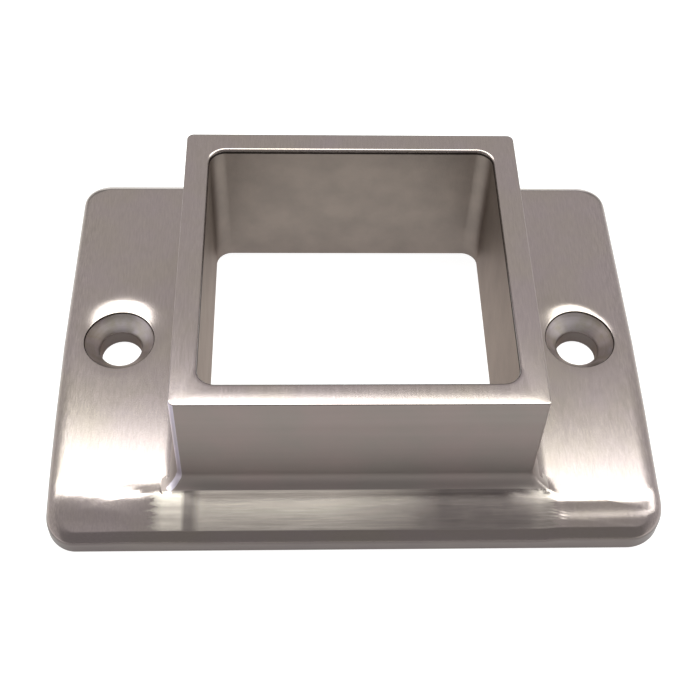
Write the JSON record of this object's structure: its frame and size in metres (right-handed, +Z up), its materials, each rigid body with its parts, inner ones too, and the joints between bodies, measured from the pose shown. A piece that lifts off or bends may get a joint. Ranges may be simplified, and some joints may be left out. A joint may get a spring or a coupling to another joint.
{
  "type": "square tube base flange",
  "caption": "Rectangular base flange in brushed stainless steel, with a square open collar that a tube stands in and countersunk screw holes beside it.",
  "frame": {"origin": "centre of the foot's underside, on the axis of the square socket", "axes": "+Z up along the tube's axis, out of the collar; +X along the foot's long side, through both screw holes; -Y is the front"},
  "size_m": [0.0786, 0.06, 0.0215],
  "materials": {
    "steel": "brushed along the depth on the foot's wings and the rim, across on the front shelf, satin on the collar's faces, as cast inside the socket"
  },
  "bodies": {
    "root": {"flange": "steel"}
  },
  "joints": []
}
